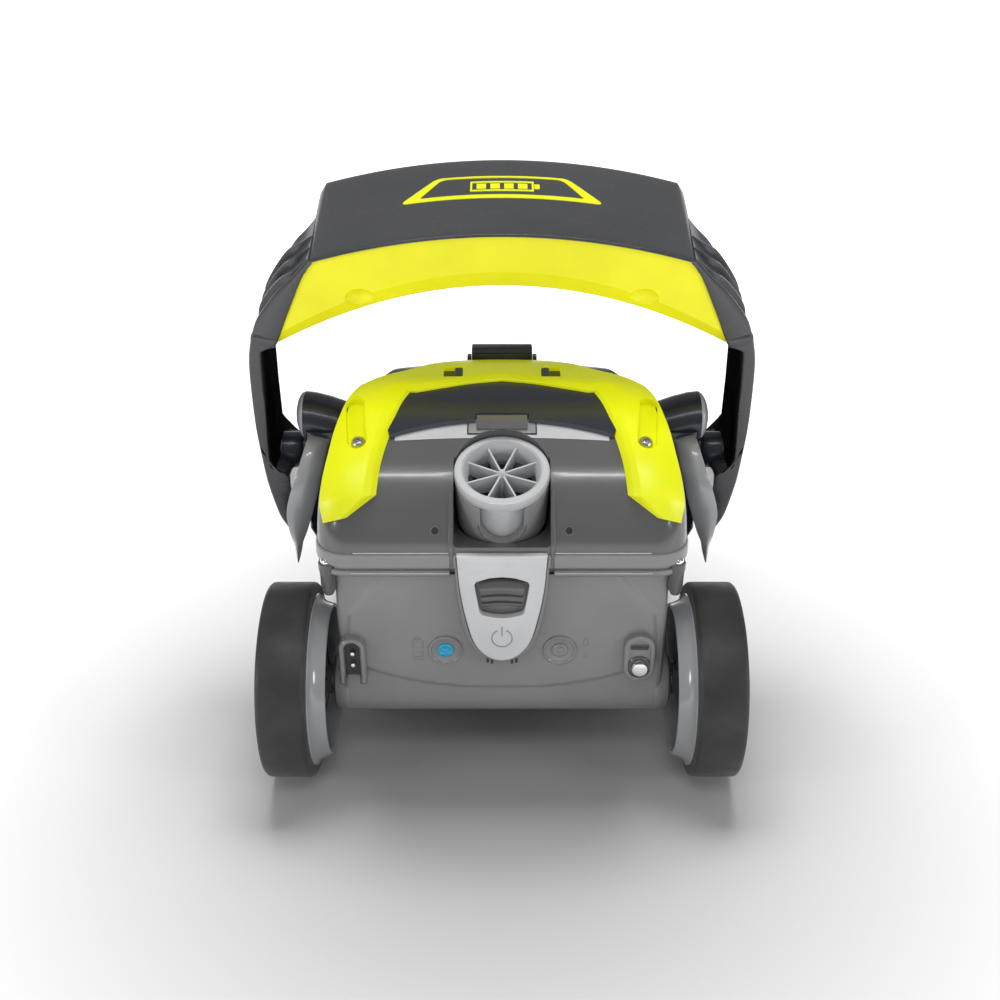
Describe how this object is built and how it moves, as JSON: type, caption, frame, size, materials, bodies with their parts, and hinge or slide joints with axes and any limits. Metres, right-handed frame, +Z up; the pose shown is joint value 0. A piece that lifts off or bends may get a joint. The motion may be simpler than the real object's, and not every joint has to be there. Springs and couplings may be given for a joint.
{
  "type": "pool cleaner",
  "caption": "Cordless jet-driven pool cleaner with large rear wheels, domed body, tilted outlet nozzle, hinged carrying handle and lift-up lid.",
  "frame": {"origin": "on the floor, under the middle of the machine's bounding box", "axes": "+Z up, -Y towards the jet nozzle and control panel at the rear, +X across the machine"},
  "size_m": [0.382, 0.35, 0.432],
  "materials": {
    "tub_grey": "moulded mid-grey plastic, satin gloss",
    "shell_grey": "moulded dark grey plastic, glossy",
    "navy": "moulded blue-black plastic, satin",
    "handle_grey": "dark grey plastic, glossy",
    "lime": "lime-yellow moulded plastic",
    "silver": "silver-grey plastic",
    "light_grey": "light grey plastic",
    "tyre": "smooth black rubber",
    "rubber": "black rubber",
    "chrome": "polished",
    "steel": "stainless",
    "blue_lens": "clear blue lens",
    "grey_lens": "grey lens",
    "black_plastic": "black plastic",
    "board": "circuit board",
    "mesh": "fine filter mesh"
  },
  "bodies": {
    "root": {"axles": "steel", "base_plate": "tub_grey", "battery_pack": "black_plastic", "control_board": "board", "control_plate": "light_grey", "corner_screws": "chrome", "filter_basket": "black_plastic", "filter_mesh": "mesh", "flap_pin": "steel", "front_bumper": "navy", "intake_duct": "black_plastic", "lamp_lens_left": "blue_lens", "lamp_lens_right": "grey_lens", "lamp_rings": "tub_grey", "lid_hinge_pin": "steel", "lower_housing": "tub_grey", "nozzle_barrel": "silver", "nozzle_grille": "silver", "nozzle_ring": "silver", "plate_seat": "tub_grey", "pod_caps": "silver", "port_hood": "tub_grey", "port_pins": "chrome", "port_socket": "black_plastic", "pump_motor": "black_plastic", "seam_flange": "tub_grey", "seam_gasket": "rubber", "sensor_boss": "tub_grey", "sensor_stud": "chrome", "side_pod_left": "navy", "side_pod_right": "navy", "suction_lips": "rubber", "upper_shell": "shell_grey"},
    "lid": {"lid": "navy", "lime_band": "lime", "band_screws": "chrome"},
    "lid_latch": {"lid_latch": "navy"},
    "handle": {"handle_arm_left": "navy", "handle_arm_right": "navy", "handle_pins": "steel", "handle_top": "handle_grey", "emblem": "lime", "lime_grip": "lime", "shoulder_louvres": "navy"},
    "rear_wheel_left": {"rear_tyre_left": "tyre", "rear_rim_left": "silver", "rear_disc_left": "silver", "rear_cap_left": "silver"},
    "rear_wheel_right": {"rear_tyre_right": "tyre", "rear_rim_right": "silver", "rear_disc_right": "silver", "rear_cap_right": "silver"},
    "front_wheel_left": {"front_tyre_left": "tyre", "front_hub_left": "silver"},
    "front_wheel_right": {"front_tyre_right": "tyre", "front_hub_right": "silver"},
    "power_slider": {"power_slider": "black_plastic"},
    "impeller": {"impeller": "black_plastic", "motor_shaft": "steel"},
    "intake_flap": {"intake_flap": "black_plastic"}
  },
  "joints": [
    {"name": "rear_left_spin", "type": "hinge", "parent": "root", "child": "rear_wheel_left", "pos_m": [-0.16, -0.1, 0.075], "axis": [1, 0, 0], "continuous": true},
    {"name": "rear_right_spin", "type": "hinge", "parent": "root", "child": "rear_wheel_right", "pos_m": [0.16, -0.1, 0.075], "axis": [1, 0, 0], "continuous": true},
    {"name": "front_left_spin", "type": "hinge", "parent": "root", "child": "front_wheel_left", "pos_m": [-0.139, 0.128, 0.042], "axis": [1, 0, 0], "continuous": true},
    {"name": "front_right_spin", "type": "hinge", "parent": "root", "child": "front_wheel_right", "pos_m": [0.139, 0.128, 0.042], "axis": [1, 0, 0], "continuous": true},
    {"name": "handle_tilt", "type": "hinge", "parent": "root", "child": "handle", "pos_m": [0, 0.02, 0.215], "axis": [1, 0, 0], "range_deg": [-25, 12]},
    {"name": "lid_hinge", "type": "hinge", "parent": "root", "child": "lid", "pos_m": [0, 0.05, 0.2925], "axis": [-1, 0, 0], "range_deg": [0, 20]},
    {"name": "latch_flex", "type": "hinge", "parent": "lid", "child": "lid_latch", "pos_m": [0, -0.0655, 0.283], "axis": [-1, 0, 0], "range_deg": [0, 12], "stiffness_Nm_per_rad": 0.05},
    {"name": "slider_travel", "type": "slide", "parent": "root", "child": "power_slider", "axis": [0, 0, 1], "range_m": [-0.004, 0]},
    {"name": "impeller_spin", "type": "hinge", "parent": "root", "child": "impeller", "pos_m": [0, -0.106, 0.256], "axis": [0, -0.3256, 0.9455], "continuous": true},
    {"name": "flap_hinge", "type": "hinge", "parent": "root", "child": "intake_flap", "pos_m": [0, 0.034, 0.027], "axis": [1, 0, 0], "range_deg": [0, 60]}
  ]
}
